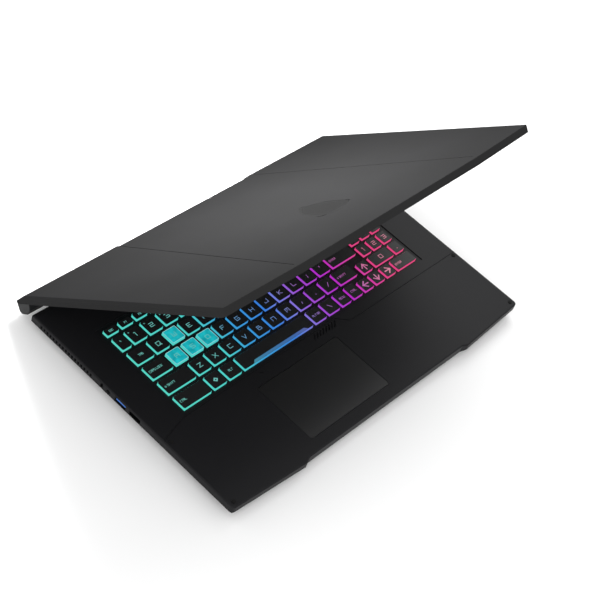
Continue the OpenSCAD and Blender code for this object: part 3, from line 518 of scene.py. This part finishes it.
def make_keys(node):
    """All the caps of one CAD node: a clear skirt that shines at its sides, a black cap on it, its legends."""
    bm = bmesh.new()
    own_lit = node in ("key_w", "key_a", "key_s", "key_d")
    for name, legend, left, front, w, d in KEYS:
        if name != node:
            continue
        c = at_deck(left + w / 2, front + d / 2, 0)
        cw, cd = (w - CAP_GAP) * MM, d * MM
        top = c.z + CAP_RISE * MM
        low = c.z - SKIRT_DEEP
        # Clear skirt, seen as a thin bright wall round the cap
        rounded_slab(bm, c.x, c.y, cw, cd, low, top - SKIRT_DROP, SKIRT_CORNER, SKIRT)
        # Opaque shell on the skirt
        face, rim = (TEAL, RIM) if own_lit else (BLACK, BLACK)
        shell = rounded_slab(bm, c.x, c.y, cw - SHELL_IN, cd - SHELL_IN, top - SHELL_H, top - SHELL_DROP,
                             SHELL_CORNER, face)
        dish(bm, shell, RIM_W, DISH_DEEP, rim, face)
        z = top - LEGEND_DROP
        if legend.startswith("#") or len(legend) == 1:
            h, widen, units, pen = LEGEND_H, 1.5, 4, PEN
            if legend in ARROWS:
                h, widen, units, pen = ARROW_H, 1.0, 6, 2.2 * PEN
            elif legend == "#diamond":
                widen, units, pen = 1.15, 5, 1.9 * PEN
            elif len(legend) == 1 and not legend.isalnum():
                widen = 1.1
            wide = units * widen * h / 6
            glyph(bm, legend, c.x - wide / 2, c.y - h / 2, h, pen, z, LEGEND, widen)
            if node == "number_keys" and legend.isdigit():
                word(bm, "=", c.x - 5.4 * MM, c.y + 3.6 * MM, SIGN_H, WORD_PEN, z, LEGEND)
        elif legend:
            h = FN_WORD_H if d == FN_D else WORD_H
            long = word_length(legend, h)
            x = c.x - long / 2 if w < WIDE_CAP else c.x - cw / 2 + WORD_MARGIN * MM
            word(bm, legend, x, c.y - h / 2, h, WORD_PEN, z, LEGEND)
        if node == "key_space":
            add_space_strip(bm, c, cd, top)
    mesh = bpy.data.meshes.new("caps_" + node)
    bm.to_mesh(mesh)
    bm.free()
    for mat in (cap_abs, skirt_lit, teal_abs, rim_lit, legend_lit, strip_lit):
        mesh.materials.append(mat)
    piece = bpy.data.objects.new("caps_" + node, mesh)
    bpy.context.collection.objects.link(piece)
    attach(piece, BODY_OF[node])
    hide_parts(node)


# Strip: half its length, how far its middle stays right of the cap's, its front and rear edges from the
# cap's front, how far its ends slant, and how far it stays below the cap's top
STRIP_HALF, STRIP_RIGHT = 36 * MM, 2 * MM
STRIP_FRONT, STRIP_REAR, STRIP_SLANT, STRIP_DROP = 0.25 * MM, 3.1 * MM, 3.2 * MM, 0.03 * MM


def add_space_strip(bm, c, cd, top):
    """Clear strip along the space bar's front edge, longer in front, with slanted ends."""
    made = bmesh.ops.create_grid(bm, x_segments=1, y_segments=1, size=0.5)
    front, rear = c.y - cd / 2 + STRIP_FRONT, c.y - cd / 2 + STRIP_REAR
    x0, x1 = c.x + STRIP_RIGHT - STRIP_HALF, c.x + STRIP_RIGHT + STRIP_HALF
    for v in made["verts"]:
        far = v.co.y > 0
        slant = STRIP_SLANT if far else 0
        v.co = Vector((x1 - slant if v.co.x > 0 else x0 + slant, rear if far else front, top - STRIP_DROP))
    for f in {f for v in made["verts"] for f in v.link_faces}:
        f.material_index = STRIP


for node in dict.fromkeys(k[0] for k in KEYS):
    make_keys(node)


# Socket tongues and the lid's badge --------------------------------------------------------

def add_piece(name, bm, mats, body):
    """Makes a finished bmesh an object that rides on a body."""
    mesh = bpy.data.meshes.new(name)
    bm.to_mesh(mesh)
    bm.free()
    for mat in mats:
        mesh.materials.append(mat)
    piece = bpy.data.objects.new(name, mesh)
    bpy.context.collection.objects.link(piece)
    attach(piece, body)
    return piece


# Middle of the rear left socket along the side, in millimetres from the deck's rear edge
USB_REAR_Y = -114.6
# Tongue: its depth, width and height, its middle from the socket's mouth and above the socket's middle
TONGUE_SIZE = (8 * MM, 11.6 * MM, 2.4 * MM, 1)
TONGUE_IN, TONGUE_UP, TONGUE_ROUND = 4.4 * MM, 0.8 * MM, 0.25 * MM


def make_usb_tongue():
    """Blue tongue in the upper half of the rear left socket."""
    lo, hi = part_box("usb_sockets")
    bm = bmesh.new()
    y, z = DECK_REAR + USB_REAR_Y * MM, (lo.z + hi.z) / 2
    made = bmesh.ops.create_cube(bm, size=1)
    move = Matrix.Translation((lo.x + TONGUE_IN, y, z + TONGUE_UP)) @ Matrix.Diagonal(TONGUE_SIZE)
    bmesh.ops.transform(bm, matrix=move, verts=made["verts"])
    bmesh.ops.bevel(bm, geom=bm.edges[:], offset=TONGUE_ROUND, segments=2, profile=0.5, affect="EDGES",
                    material=-1)
    add_piece("usb_tongue", bm, [blue_nylon], "base")


def turned_open(p):
    """A point in millimetres on the closed lid, from the deck's rear edge and top, turned to the rest pose."""
    y, z = p[1] - AXIS_BACK, p[2] - AXIS_RISE
    c, s = math.cos(LID_ANGLE), math.sin(LID_ANGLE)
    return at_deck(p[0], AXIS_BACK + y * c + z * s, AXIS_RISE - y * s + z * c)


# Hinge axis behind the deck's rear edge and above its top, the lid's face above the deck, the badge's
# middle from the deck's rear edge on the closed lid, and its floor and thickness, in millimetres
AXIS_BACK, AXIS_RISE = 14.5, 0.5
LID_FACE = 7.9
BADGE_Y, BADGE_SUNK, BADGE_T = -170, 0.36, 0.3
# Widths of the three rings from the badge's edge inwards; the middle one is a painted line
BADGE_RIM, BADGE_LINE, BADGE_FIELD = 3.2, 1.0, 4.2


def make_badge():
    """Bare shield-shaped inlay of smoked glossy plastic that fills the lid's shallow inset."""
    half = [(0, 25.6), (-13.5, 14), (-18.6, -4), (-18.8, -17), (-12, -22.5), (0, -25.4)]
    outline = half + [(-x, y) for x, y in reversed(half[1:-1])]
    bm = bmesh.new()
    ring = [bm.verts.new(turned_open((x, BADGE_Y + y, LID_FACE - BADGE_SUNK))) for x, y in outline]
    face = bm.faces.new(ring)
    up = Vector((0, math.sin(LID_ANGLE), math.cos(LID_ANGLE)))
    if face.normal.dot(up) < 0 or face.normal.length == 0:
        face.normal_update()
        if face.normal.dot(up) < 0:
            face.normal_flip()
    raised = bmesh.ops.extrude_face_region(bm, geom=[face])
    tops = [g for g in raised["geom"] if isinstance(g, bmesh.types.BMFace)]
    bmesh.ops.translate(bm, vec=up * BADGE_T * MM, verts=[g for g in raised["geom"]
                                                      if isinstance(g, bmesh.types.BMVert)])
    for top in tops:
        for part in (BADGE_RIM, BADGE_LINE, BADGE_FIELD):
            rim = bmesh.ops.inset_region(bm, faces=[top], thickness=part * MM, depth=0)["faces"]
            if part == BADGE_LINE:
                for f in rim:
                    f.material_index = 1
    bmesh.ops.recalc_face_normals(bm, faces=bm.faces[:])
    add_piece("badge_inlay", bm, [smoked_gloss, lid_paint], "lid")


# Badge: smoked polycarbonate, darker and glossier than the paint round it
smoked_gloss = moulded("smoked_polycarbonate", "1c1c1c", 0.5, rough=0.5, bump=0.02, spec=0.02)
make_usb_tongue()
make_badge()
